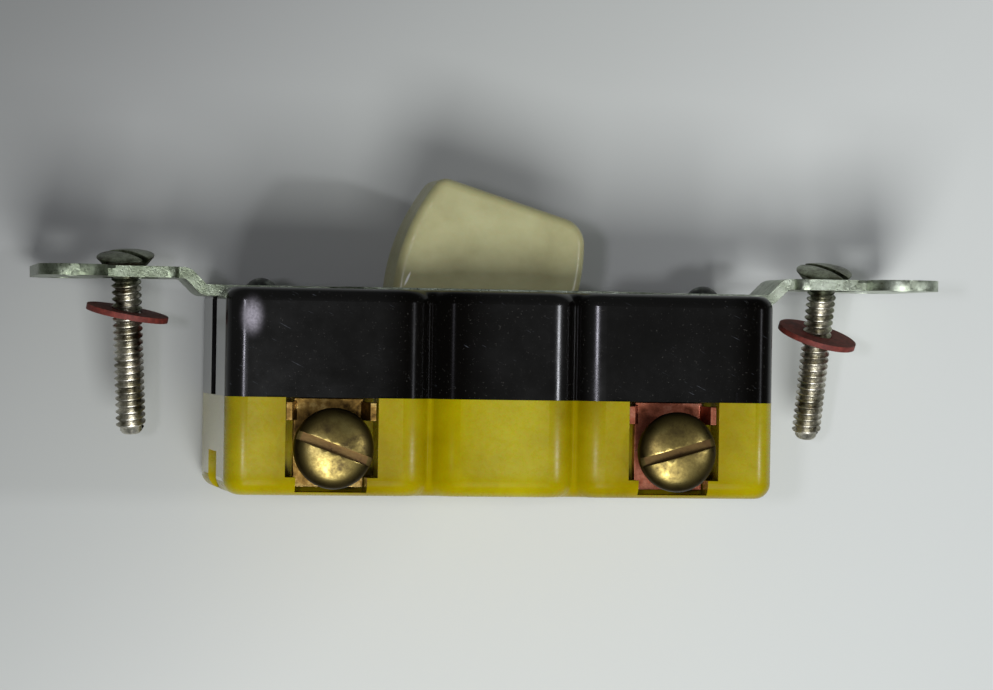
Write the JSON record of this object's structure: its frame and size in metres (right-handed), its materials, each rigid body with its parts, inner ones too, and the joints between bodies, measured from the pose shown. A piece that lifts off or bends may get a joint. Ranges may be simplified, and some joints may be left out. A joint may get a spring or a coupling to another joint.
{
  "type": "flush rocker wall switch",
  "caption": "Flush wall switch with a wide rocking handle, a screw-terminal body on a zinc-plated strap and a knife-blade contact inside.",
  "frame": {"origin": "centre of the wall-plate screw pattern, on the front face of the mounting strap", "axes": "+X along the strap, +Y the way the handle faces, +Z the side with the terminal screws, up as the switch lies on its far long side"},
  "size_m": [0.1058, 0.0367, 0.0315],
  "materials": {
    "zinc_plated_steel": "dull zinc plating, slightly yellowed",
    "black_phenolic": "glossy moulded, dusty and lightly scratched",
    "yellow_urea": "glossy moulded mustard yellow",
    "blackened_steel": "black",
    "ivory_urea": "semi-gloss moulded ivory",
    "spring_steel": "plain steel",
    "brass": "plain, slightly dull",
    "fibre_black": "matt moulded",
    "copper": "pinkish copper, tarnished",
    "aged_brass": "olive-tarnished brass",
    "red_fibre": "dark red vulcanised fibre"
  },
  "bodies": {
    "switch_body": {"mounting_strap": "zinc_plated_steel", "cover": "black_phenolic", "base": "yellow_urea", "assembly_rivets": "blackened_steel", "carrier_pin": "spring_steel", "left_jaw": "copper", "right_jaw": "copper", "jaw_rivets": "brass", "left_terminal_plate": "brass", "right_terminal_plate": "copper"},
    "handle": {"handle": "ivory_urea", "toggle_spring": "spring_steel"},
    "plunger": {"spring_plunger": "brass"},
    "contact_carrier": {"carrier_front_half": "fibre_black", "carrier_back_half": "fibre_black", "knife_blade": "copper", "carrier_rivets": "brass"},
    "left_terminal_screw": {"left_terminal_screw": "aged_brass"},
    "right_terminal_screw": {"right_terminal_screw": "aged_brass"},
    "left_washer": {"left_fibre_washer": "red_fibre"},
    "right_washer": {"right_fibre_washer": "red_fibre"},
    "left_mounting_screw": {"left_mounting_screw": "zinc_plated_steel"},
    "right_mounting_screw": {"right_mounting_screw": "zinc_plated_steel"}
  },
  "joints": [
    {"name": "handle_rock", "type": "hinge", "parent": "switch_body", "child": "handle", "pos_m": [0, 0.0025, 0], "axis": [0, 0, 1], "range_deg": [0, 34.6]},
    {"name": "blade_rock", "type": "hinge", "parent": "switch_body", "child": "contact_carrier", "pos_m": [0, -0.0145, 0], "axis": [0, 0, 1], "range_deg": [-30, 0]},
    {"name": "plunger_slide", "type": "slide", "parent": "handle", "child": "plunger", "axis": [0.2974, 0.9548, 0], "range_m": [0, 0.0012], "stiffness_N_per_m": 200, "springref_m": -0.001, "deforming": ["toggle_spring"]},
    {"name": "left_terminal_screw_in_out", "type": "slide", "parent": "switch_body", "child": "left_terminal_screw", "axis": [0, 0, 1], "range_m": [-0.0037, 0.0012]},
    {"name": "right_terminal_screw_in_out", "type": "slide", "parent": "switch_body", "child": "right_terminal_screw", "axis": [0, 0, 1], "range_m": [-0.0037, 0.0012]},
    {"name": "left_washer_slide", "type": "slide", "parent": "switch_body", "child": "left_washer", "axis": [-0.0653, 0.9702, 0.2334], "range_m": [0, 0.0024]},
    {"name": "right_washer_slide", "type": "slide", "parent": "switch_body", "child": "right_washer", "axis": [0.0066, 0.9483, 0.3173], "range_m": [0, 0.0031]},
    {"name": "left_mounting_screw_spin", "type": "hinge", "parent": "left_washer", "child": "left_mounting_screw", "pos_m": [-0.0423, 0.00195, 0], "axis": [-0.0653, 0.9702, 0.2334], "continuous": true},
    {"name": "right_mounting_screw_spin", "type": "hinge", "parent": "right_washer", "child": "right_mounting_screw", "pos_m": [0.0414, 0.00195, 0], "axis": [0.0066, 0.9483, 0.3173], "continuous": true}
  ],
  "couplings": [
    {"joint": "blade_rock", "follows": "handle_rock", "ratio": -0.867}
  ]
}
